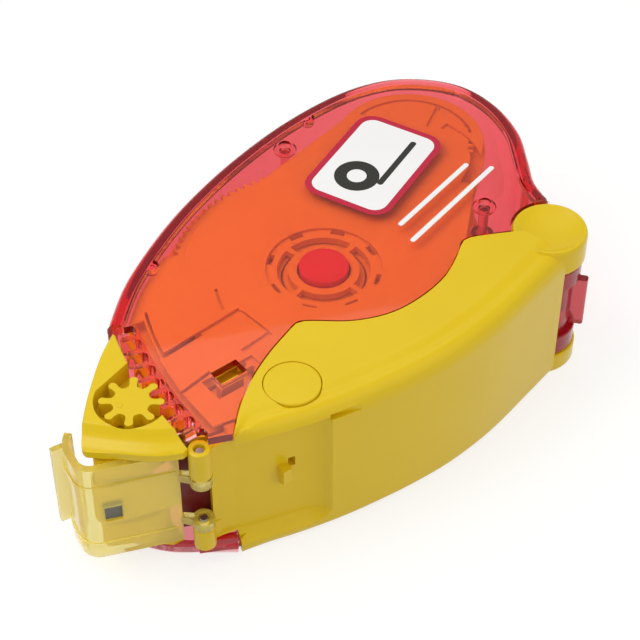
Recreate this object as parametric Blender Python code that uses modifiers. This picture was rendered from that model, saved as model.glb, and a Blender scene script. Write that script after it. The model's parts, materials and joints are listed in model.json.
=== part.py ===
"""Refillable roller for adhesive or correction tape, lying on its flat side.

A red housing (case shell and top cover) is hinged at its tail to a yellow chassis
(grip, nose and tape cassette). A thumb gear on the nose rolls along an arc rack in
the cover as the chassis swings out, and a clear cap folds over the applicator tip.

Plan positions are millimetres from the tail hinge, with +X from the nose towards the
tail. at() turns them into metres in the object's frame, whose origin is the middle of
the base.
"""

import math

import bmesh
import bpy
from mathutils import Matrix, Vector

MM = 0.001

# Driving dimensions, in millimetres.
HINGE_X = 39.67
HINGE_Y = -16.45
HEIGHT = 28.5
GAP = 0.3

# The hinge at the tail.
KNUCKLE_RADIUS = 6.35
BARREL_RADIUS = 6.0
BARREL_WAIST_RADIUS = 5.0
HINGE_PIN_RADIUS = 1.6
UPPER_KNUCKLE_LOW = 23.1
LOWER_KNUCKLE_HIGH = 3.7
STOP_TAB_DEG = 317.0
STOP_TAB_REACH = 7.4

# The thumb gear and the arc rack that it rolls along.
GEAR_CENTRE = (-77.25, 0.0)
GEAR_TEETH = 8
GEAR_MODULE = 1.0
GEAR_PITCH_RADIUS = GEAR_TEETH * GEAR_MODULE / 2
GEAR_TIP_RADIUS = 5.05
GEAR_ROOT_RADIUS = 2.85
GEAR_PHASE_DEG = 14.0
RACK_PITCH_RADIUS = -GEAR_CENTRE[0] - GEAR_PITCH_RADIUS
RACK_RATIO = RACK_PITCH_RADIUS / GEAR_PITCH_RADIUS
RACK_PITCH_DEG = math.degrees(math.pi * GEAR_MODULE / RACK_PITCH_RADIUS)
RACK_FIRST_SLOT = -4
RACK_LAST_SLOT = 4
RACK_TIP_RADIUS = 74.15
RACK_SLOT_RADIUS = 71.3
RACK_SLOT_WIDTH = 2.05
RACK_RIM_LOW = 25.4
NOSE_INNER_RADIUS = 74.6

# The housing.
WALL = 1.6
FLOOR = 1.5
RIM_WIDTH = 2.35
RIM_LOW = 26.3
COVER_LOW = 27.0
BOSSES = (
    ((-27.6, 40.9), 1.9),
    ((-5.8, 10.9), 1.9),
)
BOSS_HIGH = 21.0
BOSS_PIN_RADIUS = 0.8

# The grip.
GRIP_WALL = 1.6
FLANGE_LOW = 26.0
LOWER_FLANGE_HIGH = 2.5
RECESS_DEPTH = 2.0
RECESS_START_X = -51.3
LUG_AXIS = (-71.9, -11.8)
LUG_RADIUS = 1.8
LUG_BORE = 0.95
CAP_PIN_RADIUS = 0.65
UPPER_LUG = (20.0, 26.0)
LUG_WEB_HIGH = 25.0
LOWER_LUG = (3.3, 7.5)

# The cap.
CAP_LOW = 3.7
CAP_HIGH = 24.3
CAP_WALL = 1.2
CAP_UPPER_KNUCKLE = (17.9, 19.7)
CAP_LOWER_KNUCKLE = (7.8, 9.6)

# The reels, which turn about upright posts.
SUPPLY_CENTRE = (-36.4, 12.2)
SUPPLY_TEETH = 100
TAKEUP_TEETH = 44
REEL_MODULE = 0.5
SUPPLY_GEAR_RADIUS = SUPPLY_TEETH * REEL_MODULE / 2
TAKEUP_GEAR_RADIUS = TAKEUP_TEETH * REEL_MODULE / 2
REEL_BEARING_DEG = 35.0
SUPPLY_ROLL_RADIUS = 18.5
TAKEUP_ROLL_RADIUS = 8.4
REEL_GEAR = (24.5, 25.7)
HUB_HIGH = 26.65
BRIDGE = (23.1, 24.2)
TRAY = (3.6, 4.8)
TAPE = (10.0, 18.4)
TAPE_THICKNESS = 0.3

# The tape's way from the supply reel round the tip and back to the take-up reel.
TIP_CENTRE = (-84.2, -3.6)
TIP_ROLLER_RADIUS = 1.7
FRONT_GUIDE = (-60.2, 6.6)
LOWER_GUIDE = (-57.4, -8.4)
REAR_GUIDE = (-18.8, -7.2)
THROAT = (-78.4, -2.5)
THROAT_RADIUS = 4.5

CATCH_WINDOW = (-61.7, -2.3)

RED = (0.78, 0.03, 0.05, 1.0)
YELLOW = (0.86, 0.66, 0.04, 1.0)
CLEAR_YELLOW = (0.92, 0.80, 0.25, 0.5)
WHITE = (0.92, 0.91, 0.87, 1.0)
STEEL = (0.62, 0.63, 0.65, 1.0)
RUBBER = (0.80, 0.55, 0.08, 1.0)


# --- Outlines: lists of (x, y) in millimetres from the tail hinge -----------------


def polar(radius, degrees, centre=(0.0, 0.0)):
    angle = math.radians(degrees)
    return (centre[0] + radius * math.cos(angle), centre[1] + radius * math.sin(angle))


def arc(radius, start, end, steps, centre=(0.0, 0.0)):
    """Points along an arc about centre, both ends included."""
    return [polar(radius, start + (end - start) * i / steps, centre) for i in range(steps + 1)]


def circle(radius, steps=32, centre=(0.0, 0.0)):
    return [polar(radius, 360 * i / steps, centre) for i in range(steps)]


def smooth(points, steps=4):
    """A Catmull-Rom curve through the points."""
    ends = [points[0]] + list(points) + [points[-1]]
    curve = []
    for before, start, end, after in zip(ends, ends[1:], ends[2:], ends[3:]):
        for i in range(steps):
            t = i / steps
            curve.append(
                tuple(
                    0.5 * (2 * p1 + (p2 - p0) * t + (2 * p0 - 5 * p1 + 4 * p2 - p3) * t**2)
                    + 0.5 * (3 * p1 - p0 - 3 * p2 + p3) * t**3
                    for p0, p1, p2, p3 in zip(before, start, end, after)
                )
            )
    return curve + [tuple(points[-1])]


def shifted(points, distance):
    """The chain moved to its right-hand side by distance."""
    moved = []
    for i, here in enumerate(points):
        before = points[max(i - 1, 0)]
        after = points[min(i + 1, len(points) - 1)]
        along = Vector((after[0] - before[0], after[1] - before[1])).normalized()
        moved.append((here[0] + distance * along.y, here[1] - distance * along.x))
    return moved


def band(points, left, right):
    """A closed strip along the chain, from left of it to right of it."""
    return shifted(points, -left) + shifted(points, right)[::-1]


def rectangle(centre, length, width, degrees=0.0):
    turn = Matrix.Rotation(math.radians(degrees), 2)
    corners = ((-1, -1), (1, -1), (1, 1), (-1, 1))
    ends = [turn @ Vector((length / 2 * i, width / 2 * j)) for i, j in corners]
    return [(centre[0] + end.x, centre[1] + end.y) for end in ends]


def capsule(start, end, start_radius, end_radius, steps=10):
    """The outline of a round-ended link between two circles."""
    along = Vector((end[0] - start[0], end[1] - start[1]))
    lean = math.degrees(math.asin((start_radius - end_radius) / along.length))
    heading = math.degrees(math.atan2(along.y, along.x))
    tail = arc(start_radius, heading + 90 - lean, heading + 270 + lean, steps, start)
    return tail + arc(end_radius, heading - 90 + lean, heading + 90 - lean, steps, end)


def toothed(teeth, root, tip, phase, share, centre):
    """A gear's outline with plain tapered teeth. share is a tooth's part of the pitch."""
    pitch = 360 / teeth
    outline = []
    for tooth in range(teeth):
        middle = phase + tooth * pitch
        for radius, side in ((root, -0.62), (tip, -0.25), (tip, 0.25), (root, 0.62)):
            outline.append(polar(radius, middle + side * pitch * share, centre))
    return outline


def petals():
    """The thumb gear's outline: round-ended teeth, a little narrower at the root."""
    outline = []
    for tooth in range(GEAR_TEETH):
        heading = GEAR_PHASE_DEG + tooth * 360 / GEAR_TEETH
        turn = Matrix.Rotation(math.radians(heading), 2)
        half_tooth = [(GEAR_ROOT_RADIUS, -0.62), (3.5, -0.56), (GEAR_TIP_RADIUS - 0.68, -0.68)]
        tip = arc(0.68, -72, 72, 6, (GEAR_TIP_RADIUS - 0.68, 0.0))
        mirrored = [(x, -y) for x, y in half_tooth[::-1]]
        for x, y in half_tooth + tip + mirrored:
            corner = turn @ Vector((x, y))
            outline.append((GEAR_CENTRE[0] + corner.x, GEAR_CENTRE[1] + corner.y))
    return outline


def rack_edge():
    """The cover's toothed front edge, from its grip end to its rim end."""
    edge = []
    half_slot = math.degrees(RACK_SLOT_WIDTH / 2 / RACK_PITCH_RADIUS)
    slot_zero = 180 - GEAR_PHASE_DEG / RACK_RATIO
    for slot in range(RACK_LAST_SLOT, RACK_FIRST_SLOT - 1, -1):
        middle = slot_zero + slot * RACK_PITCH_DEG
        if slot < RACK_LAST_SLOT:
            edge.append(polar(RACK_TIP_RADIUS, middle + half_slot + 0.16))
            edge.append(polar(RACK_TIP_RADIUS - 0.5, middle + half_slot))
            edge.append(polar(RACK_SLOT_RADIUS + 0.5, middle + half_slot))
        edge.append(polar(RACK_SLOT_RADIUS, middle + half_slot - 0.4))
        edge.append(polar(RACK_SLOT_RADIUS, middle - half_slot + 0.4))
        edge.append(polar(RACK_SLOT_RADIUS + 0.5, middle - half_slot))
        edge.append(polar(RACK_TIP_RADIUS - 0.5, middle - half_slot))
        edge.append(polar(RACK_TIP_RADIUS, middle - half_slot - 0.16))
    return edge


# The housing's outer wall, from the nose over the hump to the tail.
HUMP = smooth(
    [
        (-73.4, 16.5),
        (-67.0, 23.8),
        (-58.6, 30.6),
        (-49.5, 36.5),
        (-38.0, 42.2),
        (-25.0, 46.9),
        (-12.5, 49.3),
        (-3.0, 48.6),
        (4.2, 44.9),
        (9.0, 39.4),
        (10.9, 32.0),
        (10.2, 24.0),
        (7.4, 17.0),
        (5.0, 11.6),
        (4.4, 7.0),
    ]
)

# Where the cover meets the grip's flange, from the tail to the nose.
SEAM = smooth(
    [
        (-6.0, 2.7),
        (-9.4, 3.9),
        (-12.6, 4.9),
        (-14.6, 4.6),
        (-17.0, 2.4),
        (-21.6, -0.9),
        (-27.5, -3.0),
        (-33.5, -3.6),
        (-39.5, -2.1),
        (-45.2, 1.2),
        (-47.4, 1.9),
        (-49.8, 0.8),
        (-54.4, -1.7),
        (-59.4, -5.2),
        (-63.8, -9.4),
        (-67.2, -13.8),
    ],
    3,
)

# The grip's outer edge, from the tail to the nose.
GRIP_EDGE = smooth(
    [
        (-0.9, -6.28),
        (-8.0, -9.1),
        (-18.0, -12.9),
        (-27.0, -15.2),
        (-35.0, -16.2),
        (-42.5, -16.5),
        (-49.5, -16.4),
        (-56.5, -15.8),
        (-63.0, -14.8),
        (-66.8, -14.0),
    ]
)

# The nose plate's free edge, from its point beside the rim round to the cap's hinge.
NOSE_EDGE = (
    smooth([(-73.6, 14.2), (-77.3, 10.7), (-81.7, 5.3), (-84.6, 1.2), (-86.7, -2.2)], 4)
    + arc(1.3, 150, 232, 4, (-85.9, -3.5))
    + smooth([(-83.0, -7.0), (-78.5, -10.2), (-74.6, -11.8)], 3)
)

# The cap's outer face, from its hinge round the tip to its thumb tab.
CAP_FACE = (
    [(-74.6, -9.9), (-80.9, -8.3)]
    + arc(3.2, 254, 182, 7, (-86.2, -3.6))
    + [(-89.3, -0.6), (-88.5, 1.5)]
    + [(-87.6, 2.6)]
)


# --- Building ---------------------------------------------------------------------


def at(x, y, z=0.0):
    """A place in the object's frame, in metres."""
    return Vector(((x + HINGE_X) * MM, (y + HINGE_Y) * MM, z * MM))


def clear_scene():
    for obj in list(bpy.data.objects):
        bpy.data.objects.remove(obj, do_unlink=True)


def new_collection(name):
    collection = bpy.data.collections.new(name)
    bpy.context.scene.collection.children.link(collection)
    return collection


def plastic(name, colour, roughness, metallic=0.0):
    material = bpy.data.materials.new(name)
    material.use_nodes = True
    shader = material.node_tree.nodes["Principled BSDF"]
    shader.inputs["Base Color"].default_value = colour[:3] + (1.0,)
    shader.inputs["Roughness"].default_value = roughness
    shader.inputs["Metallic"].default_value = metallic
    shader.inputs["Alpha"].default_value = colour[3]
    material.diffuse_color = colour
    return material


def prism(name, loops, low, high):
    """An upright mesh prism on one outline, with any further outlines as holes."""
    curve = bpy.data.curves.new(name, "CURVE")
    curve.dimensions = "2D"
    curve.fill_mode = "BOTH"
    curve.extrude = (high - low) / 2 * MM
    for loop in loops:
        spline = curve.splines.new("POLY")
        spline.points.add(len(loop) - 1)
        spline.use_cyclic_u = True
        for point, (x, y) in zip(spline.points, loop):
            point.co = (*at(x, y).xy, 0.0, 1.0)
    drawn = bpy.data.objects.new(name + "_curve", curve)
    bpy.context.scene.collection.objects.link(drawn)
    drawn.location.z = (low + high) / 2 * MM
    bpy.context.view_layer.update()
    evaluated = drawn.evaluated_get(bpy.context.evaluated_depsgraph_get())
    mesh = bpy.data.meshes.new_from_object(evaluated)
    mesh.name = name
    welded = bmesh.new()
    welded.from_mesh(mesh)
    bmesh.ops.remove_doubles(welded, verts=welded.verts, dist=0.000001)
    bmesh.ops.recalc_face_normals(welded, faces=welded.faces)
    welded.to_mesh(mesh)
    welded.free()
    obj = bpy.data.objects.new(name, mesh)
    obj.matrix_world = drawn.matrix_world
    bpy.data.objects.remove(drawn, do_unlink=True)
    bpy.data.curves.remove(curve)
    return obj


def rod(name, centre, radius, low, high, steps=32):
    """An upright round bar."""
    mesh = bpy.data.meshes.new(name)
    built = bmesh.new()
    bmesh.ops.create_cone(
        built,
        cap_ends=True,
        segments=steps,
        radius1=radius * MM,
        radius2=radius * MM,
        depth=(high - low) * MM,
    )
    built.to_mesh(mesh)
    built.free()
    obj = bpy.data.objects.new(name, mesh)
    obj.location = at(*centre, (low + high) / 2)
    return obj


def turned(name, centre, profile, steps=48):
    """A ring about an upright axis. Its (radius, z) profile runs down the outside."""
    mesh = bpy.data.meshes.new(name)
    ring = [(radius * MM, 0.0, z * MM) for radius, z in profile]
    edges = [(i, (i + 1) % len(ring)) for i in range(len(ring))]
    mesh.from_pydata(ring, edges, [])
    obj = bpy.data.objects.new(name, mesh)
    obj.location = at(*centre)
    screw = obj.modifiers.new("turn", "SCREW")
    screw.axis = "Z"
    screw.steps = steps
    screw.render_steps = steps
    screw.use_merge_vertices = True
    screw.merge_threshold = 0.00001
    return obj


class Workshop:
    """Places pieces and cutters in their collections and shapes pieces by Booleans."""

    def __init__(self):
        self.pieces = new_collection("tape_roller")
        self.tools = new_collection("tape_roller_cutters")
        self.count = 0

    def piece(self, obj, material):
        self.pieces.objects.link(obj)
        obj.data.materials.clear()
        obj.data.materials.append(material)
        obj.data.shade_smooth()
        if obj.data.polygons:
            obj.data.set_sharp_from_angle(angle=math.radians(30))
        return obj

    def shape(self, obj, operation, others):
        for other in others:
            self.count += 1
            other.name = f"{obj.name}_{operation.lower()}_{self.count}"
            self.tools.objects.link(other)
            other.hide_render = True
            other.display_type = "WIRE"
            step = obj.modifiers.new(f"{operation.lower()}_{self.count}", "BOOLEAN")
            step.operation = operation
            step.object = other

    def add(self, obj, *others):
        self.shape(obj, "UNION", others)

    def cut(self, obj, *others):
        self.shape(obj, "DIFFERENCE", others)


def set_axis(obj, centre):
    """Moves an object's origin onto an upright axis, leaving its shape where it is."""
    origin = at(*centre)
    shift = obj.location.xy - origin.xy
    obj.data.transform(Matrix.Translation((shift.x, shift.y, 0.0)))
    obj.location.x = origin.x
    obj.location.y = origin.y


# --- The housing ------------------------------------------------------------------


def case_shell(shop, red):
    """The lower shell: floor, hump wall, rim, hinge barrel, stop tab and bosses."""
    knuckle_clear = KNUCKLE_RADIUS + GAP
    lip = smooth([(-72.6, -10.7), (-76.6, -8.3), (-80.0, -4.6), (-81.2, 0.0), (-80.0, 5.0)], 3)
    outline = HUMP + [(2.0, 4.0), (-3.0, 2.0)] + SEAM + lip + [(-77.0, 9.6), (-74.0, 13.4)]
    outside = [(20.0, 6.0), (20.0, -20.0), (-95.0, -20.0), (-95.0, 33.0)]
    shell = prism("case_shell", [outline], 0.0, HEIGHT)
    front_lip = prism("front_lip", [[(-67.0, -13.4), (-72.8, -11.3), (-72.4, -10.2), (-66.6, -12.2)]], 0.5, 3.2)
    shop.cut(
        shell,
        prism("hollow", [shifted(HUMP, WALL) + outside], FLOOR, RIM_LOW),
        prism("mouth", [shifted(HUMP, RIM_WIDTH) + outside], RIM_LOW - 0.5, HEIGHT + 1),
        rod("upper", (0, 0), knuckle_clear, UPPER_KNUCKLE_LOW - GAP, HEIGHT + 1),
        rod("lower", (0, 0), knuckle_clear, -1.0, LOWER_KNUCKLE_HIGH + GAP),
    )
    low = LOWER_KNUCKLE_HIGH + GAP
    high = UPPER_KNUCKLE_LOW - GAP
    barrel = turned(
        "barrel",
        (0, 0),
        [
            (BARREL_RADIUS, high),
            (BARREL_RADIUS, 18.8),
            (BARREL_WAIST_RADIUS, 18.8),
            (BARREL_WAIST_RADIUS, 7.8),
            (BARREL_RADIUS, 7.8),
            (BARREL_RADIUS, low),
            (HINGE_PIN_RADIUS + GAP, low),
            (HINGE_PIN_RADIUS + GAP, high),
        ],
        32,
    )
    tab_middle = polar((BARREL_WAIST_RADIUS + STOP_TAB_REACH) / 2 - 0.6, STOP_TAB_DEG)
    tab_length = STOP_TAB_REACH - BARREL_WAIST_RADIUS + 1.2
    tab = prism("stop_tab", [rectangle(tab_middle, tab_length, 1.5, STOP_TAB_DEG)], 8.2, 18.4)
    root = [(1.9, 3.6), (5.2, 7.4), (4.4, 12.0), (-1.2, 5.3)]
    shop.add(shell, front_lip, prism("barrel_root", [root], low + 0.1, high - 0.1), barrel, tab)
    for centre, radius in BOSSES:
        shop.add(shell, rod("boss", centre, radius, FLOOR / 2, BOSS_HIGH, 20))
        shop.cut(shell, rod("boss_bore", centre, BOSS_PIN_RADIUS + GAP, 4.0, BOSS_HIGH + 1, 16))
    return shop.piece(shell, red)


def top_cover(shop, red):
    """The inset plate over the case, with the arc rack, catch window and boss pins."""
    inset = shifted(HUMP, RIM_WIDTH + GAP)
    inset = [point for point in inset if math.hypot(*point) > KNUCKLE_RADIUS + 2 * GAP]
    outline = inset + arc(KNUCKLE_RADIUS + GAP, 55, 156, 8) + SEAM + [(-70.8, -12.75)] + rack_edge()
    window = rectangle(CATCH_WINDOW, 4.8, 3.0, 8.0)
    cover = prism("top_cover", [outline, window], COVER_LOW, HEIGHT)
    rim_inside = arc(69.9, 168.6, 187.4, 8)
    rack_rim = prism("rack_rim", [rack_edge()[5:] + rim_inside], RACK_RIM_LOW, HEIGHT - 0.4)
    shop.add(cover, rack_rim)
    for centre, _ in BOSSES:
        shop.add(cover, rod("pin", centre, BOSS_PIN_RADIUS, BOSS_HIGH - 3, COVER_LOW + 0.5, 16))
    return shop.piece(cover, red)


# --- The chassis: grip and nose ---------------------------------------------------


def grip_shell(shop, yellow):
    """The grip: two flanges, the side wall with its cap recess, knuckles and lugs."""
    seam = shifted(SEAM, GAP * -0.8)
    flange = [(-5.0, 2.0), *seam[1:], *GRIP_EDGE[::-1], (0.0, -3.0)]
    grip = prism("grip_shell", [flange], FLANGE_LOW, HEIGHT)
    lower_flange = [point for point in flange if point[0] > -66.3]
    pad = [point for point in GRIP_EDGE if point[0] > RECESS_START_X]
    recess = [point for point in GRIP_EDGE if RECESS_START_X - 2.4 > point[0] > -67.5]
    wall_outline = (
        pad
        + shifted(recess, RECESS_DEPTH)
        + [(-70.0, -11.6), (-69.8, -10.2)]
        + shifted(recess, RECESS_DEPTH + GRIP_WALL)[::-1]
        + shifted(pad, GRIP_WALL)[::-1]
    )
    shop.add(
        grip,
        prism("lower_flange", [lower_flange], 0.0, LOWER_FLANGE_HIGH),
        prism("side_wall", [wall_outline], LOWER_FLANGE_HIGH - 0.5, FLANGE_LOW + 0.5),
    )
    shop.cut(
        grip,
        prism("lip_clear", [rectangle((-68.5, -11.5), 4.4, 8.0)], -1.0, 3.6),
        prism("rack_clear", [rectangle((-69.7, -11.5), 5.4, 8.0)], LUG_WEB_HIGH, HEIGHT + 1),
        rod("barrel_clear", (0, 0), BARREL_RADIUS + GAP, LOWER_KNUCKLE_HIGH, UPPER_KNUCKLE_LOW),
    )
    shop.add(
        grip,
        rod("upper_knuckle", (0, 0), KNUCKLE_RADIUS, UPPER_KNUCKLE_LOW, HEIGHT, 40),
        rod("lower_knuckle", (0, 0), KNUCKLE_RADIUS, 0.0, LOWER_KNUCKLE_HIGH, 40),
    )
    for low, high in (UPPER_LUG, LOWER_LUG):
        web = [(LUG_AXIS[0], -11.9), (-69.0, -11.9), (-69.0, -10.5), (LUG_AXIS[0], -10.4)]
        shop.add(
            grip,
            rod("lug", LUG_AXIS, LUG_RADIUS, low, high, 24),
            prism("lug_web", [web], low + 0.1, min(high, LUG_WEB_HIGH) - 0.1),
        )
        shop.cut(grip, rod("lug_bore", LUG_AXIS, LUG_BORE, low - 1, high + 1, 16))
    hook = [(-59.3, -13.0), (-57.9, -13.2), (-57.9, -14.4), (-58.6, -15.6), (-59.6, -15.4)]
    shop.add(grip, prism("cap_hook", [hook], 12.4, 16.4))
    shop.cut(
        grip,
        rod("pin_hole", (0, 0), HINGE_PIN_RADIUS + 0.05, LOWER_KNUCKLE_HIGH - 3, UPPER_KNUCKLE_LOW + 3),
        rod("dish", (0, 0), 4.9, HEIGHT - 0.8, HEIGHT + 1, 40),
        rod("plug_seat", (-54.4, -9.2), 4.7, FLANGE_LOW + 0.8, HEIGHT + 1, 40),
    )
    return shop.piece(grip, yellow)


def nose_frame(shop, yellow):
    """The nose: top plate with the gear well, side wall and sole."""
    back_edge = arc(NOSE_INNER_RADIUS, 188.9, 169.4, 10)
    plate = NOSE_EDGE + back_edge
    nose = prism("nose_frame", [plate], 24.9, HEIGHT)
    side = [point for point in NOSE_EDGE if point[1] > 3.6]
    sole = [(-74.4, 13.0), (-78.8, 7.2), (-82.0, 3.4)] + [(-82.6, -1.0), (-80.4, -5.4), (-76.0, -8.6)]
    sole = sole + arc(NOSE_INNER_RADIUS, 186.6, 170.0, 8)
    well_cup = rod("well_cup", GEAR_CENTRE, 6.5, 23.9, 25.4, 36)
    shop.add(
        nose,
        prism("side", [band(side, 1.5, -0.05)], 2.2, 25.4),
        prism("sole", [sole], 1.8, 3.2),
        well_cup,
    )
    well = arc(5.8, 131, 300, 20, GEAR_CENTRE) + [(-70.0, -5.0), (-70.0, 7.4), (-74.0, 7.4)]
    shop.cut(
        nose,
        prism("well", [well], 25.1, HEIGHT + 1),
        rod("axle_hole", GEAR_CENTRE, 1.25, 23.0, 26.0, 20),
    )
    return shop.piece(nose, yellow)


def grip_plug(shop, yellow):
    """The round plug set in the grip's flange."""
    plug = rod("grip_plug", (-54.4, -9.2), 4.45, FLANGE_LOW + 1.1, HEIGHT + 0.05, 40)
    return shop.piece(plug, yellow)


def hinge_pins(shop, steel):
    """The tail hinge's pin and the cap's two stub pins, which leave the middle open."""
    shop.piece(rod("tail_hinge_pin", (0, 0), HINGE_PIN_RADIUS, 1.1, UPPER_KNUCKLE_LOW + 2.6, 24), steel)
    upper = rod("cap_pin_upper", LUG_AXIS, CAP_PIN_RADIUS, CAP_UPPER_KNUCKLE[0], UPPER_LUG[1] - 0.6, 16)
    lower = rod("cap_pin_lower", LUG_AXIS, CAP_PIN_RADIUS, LOWER_LUG[0] + 0.6, CAP_LOWER_KNUCKLE[1], 16)
    shop.piece(upper, steel)
    shop.piece(lower, steel)


def thumb_gear(shop, yellow, steel):
    """The thumb gear, and the axle that it turns on."""
    gear = prism("thumb_gear", [petals()], 25.4, 28.2)
    shop.cut(gear, rod("bore", GEAR_CENTRE, 1.15, 25.0, 27.4, 20))
    set_axis(gear, GEAR_CENTRE)
    shop.piece(gear, yellow)
    shop.piece(rod("gear_axle", GEAR_CENTRE, 0.85, 24.2, 27.1, 16), steel)


def cap(shop, clear):
    """The clear cap: a wall round the tip, two hinge knuckles, a thumb tab and a window."""
    obj = prism("cap", [band(CAP_FACE, 0.0, CAP_WALL)], CAP_LOW, CAP_HIGH)
    tab = [(-90.3, 2.9), (-88.3, 2.9), (-87.2, 2.6), (-87.4, 1.7), (-90.3, 1.9)]
    shop.add(obj, prism("thumb_tab", [tab], 5.2, 22.0))
    for low, high in (CAP_UPPER_KNUCKLE, CAP_LOWER_KNUCKLE):
        web = [(LUG_AXIS[0], -12.7), (-74.9, -9.95), (-74.6, -8.8), (LUG_AXIS[0], -10.8)]
        shop.add(
            obj,
            rod("knuckle", LUG_AXIS, LUG_RADIUS, low, high, 24),
            prism("knuckle_web", [web], low + 0.1, high - 0.1),
        )
        shop.cut(obj, rod("knuckle_bore", LUG_AXIS, LUG_BORE, low - 1, high + 1, 16))
    shop.cut(obj, prism("window", [rectangle((-84.6, -6.8), 2.7, 5.0, -17)], 12.3, 15.0))
    set_axis(obj, LUG_AXIS)
    return shop.piece(obj, clear)


# --- The cassette -----------------------------------------------------------------


def takeup_centre():
    reach = SUPPLY_GEAR_RADIUS + TAKEUP_GEAR_RADIUS
    return polar(reach, REEL_BEARING_DEG, SUPPLY_CENTRE)


def cassette_plates(shop, yellow):
    """The cassette's tray and the bridge plate above the reels."""
    rear = takeup_centre()
    lobes = capsule(SUPPLY_CENTRE, rear, 20.5, 13.4, 14)
    tray = prism("cassette_tray", [lobes], *TRAY)
    neck = [(-69.4, 9.0), (-69.4, -8.6), (-61.0, -10.4), (-44.0, -9.6), (-40.0, 20.0), (-55.0, 16.0)]
    shop.add(tray, prism("neck", [neck], *TRAY))
    channel = smooth([(-69.2, 4.0), (-63.8, 8.6), (-61.2, 10.8)], 2)
    shop.add(
        tray,
        prism("upper_wall", [band(channel, 0.6, 0.6)], TRAY[1] - 0.4, BRIDGE[0] - GAP),
        prism("lower_wall", [rectangle((-63.4, -0.6), 7.4, 1.2, 14)], TRAY[1] - 0.4, BRIDGE[0] - 1.0),
    )
    shop.piece(tray, yellow)

    bridge = prism("cassette_bridge", [lobes, circle(7.1, 36, SUPPLY_CENTRE), circle(3.4, 24, rear)], *BRIDGE)
    wall_side = [point for point in shifted(HUMP, WALL + 0.6) if -70.0 < point[0] < -52.0]
    hood = wall_side[::-1] + arc(72.2, 167.4, 186.2, 8)
    hood += [(-69.4, -8.8), (-60.0, -10.4), (-46.0, -8.0), (-44.0, 20.0)]
    shop.add(bridge, prism("hood", [hood], *BRIDGE))
    shop.cut(
        bridge,
        rod("well_clear", GEAR_CENTRE, 6.9, BRIDGE[0] - 1, BRIDGE[1] + 1, 40),
        prism("catch_slot", [rectangle((-60.2, -2.1), 10.4, 4.2, 8.0)], BRIDGE[0] - 1, BRIDGE[1] + 1),
    )
    shop.piece(bridge, yellow)


def catch_arm(shop, yellow):
    """The springy arm whose hook shows in the cover's window."""
    arm = prism("catch_arm", [rectangle((-60.1, -2.1), 9.6, 3.2, 8.0)], BRIDGE[0], BRIDGE[1] - 0.2)
    shop.add(arm, prism("hook", [rectangle((-61.9, -2.9), 4.2, 1.5, 8.0)], BRIDGE[0] + 0.3, 26.6))
    return shop.piece(arm, yellow)


def posts(shop, red, yellow, steel):
    """The posts and pins that the reels, guides and tip roller turn on."""
    rear = takeup_centre()
    supply = rod("supply_post", SUPPLY_CENTRE, 4.1, TRAY[1] + GAP, HUB_HIGH, 40)
    shop.piece(supply, red)
    shop.piece(rod("takeup_post", rear, 2.0, TRAY[1] + GAP, REEL_GEAR[1], 24), yellow)
    for name, centre in (("front_guide_pin", FRONT_GUIDE), ("rear_guide_pin", REAR_GUIDE)):
        shop.piece(rod(name, centre, 0.8, TRAY[1] + GAP, BRIDGE[0] - GAP, 16), steel)
    lower = rod("lower_guide_pin", LOWER_GUIDE, 1.1, TRAY[1] + GAP, BRIDGE[0] - GAP, 20)
    shop.piece(lower, steel)
    shop.piece(rod("tip_axle", TIP_CENTRE, 0.6, 7.2, 21.2, 16), steel)


def supply_reel(shop, yellow, white, steel):
    """The supply reel: gear disc, spool, clutch ring and the roll of tape."""
    teeth = toothed(
        SUPPLY_TEETH,
        SUPPLY_GEAR_RADIUS - 0.6,
        SUPPLY_GEAR_RADIUS + 0.4,
        REEL_BEARING_DEG,
        0.5,
        SUPPLY_CENTRE,
    )
    holes = [circle(4.45, 36, SUPPLY_CENTRE)]
    for spoke in range(4):
        start = 20 + spoke * 90
        outer = arc(7.7, start + 4, start + 86, 10, SUPPLY_CENTRE)
        inner = arc(5.9, start + 86, start + 4, 10, SUPPLY_CENTRE)
        holes.append(outer + inner)
    for slot in range(8):
        holes.append(rectangle(polar(9.1, slot * 45, SUPPLY_CENTRE), 0.9, 2.4, slot * 45))
    gear = prism("supply_gear", [teeth, *holes], *REEL_GEAR)
    shop.piece(gear, yellow)
    spool = turned(
        "supply_spool",
        SUPPLY_CENTRE,
        [
            (6.8, BRIDGE[1]),
            (6.8, 22.4),
            (9.4, 22.4),
            (9.4, 19.6),
            (20.4, 19.6),
            (20.4, 18.8),
            (9.4, 18.8),
            (9.4, 9.6),
            (20.4, 9.6),
            (20.4, 8.8),
            (9.4, 8.8),
            (9.4, 5.1),
            (4.45, 5.1),
            (4.45, BRIDGE[1]),
        ],
    )
    shop.piece(spool, yellow)
    roll = prism("tape_roll", [circle(SUPPLY_ROLL_RADIUS, 56, SUPPLY_CENTRE), circle(9.7, 36, SUPPLY_CENTRE)], *TAPE)
    shop.piece(roll, white)
    clutch = prism("clutch_ring", [circle(11.6, 36, SUPPLY_CENTRE), circle(9.7, 36, SUPPLY_CENTRE)], 19.9, 22.0)
    shop.piece(clutch, steel)
    for obj in (gear, roll, clutch):
        set_axis(obj, SUPPLY_CENTRE)


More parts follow.
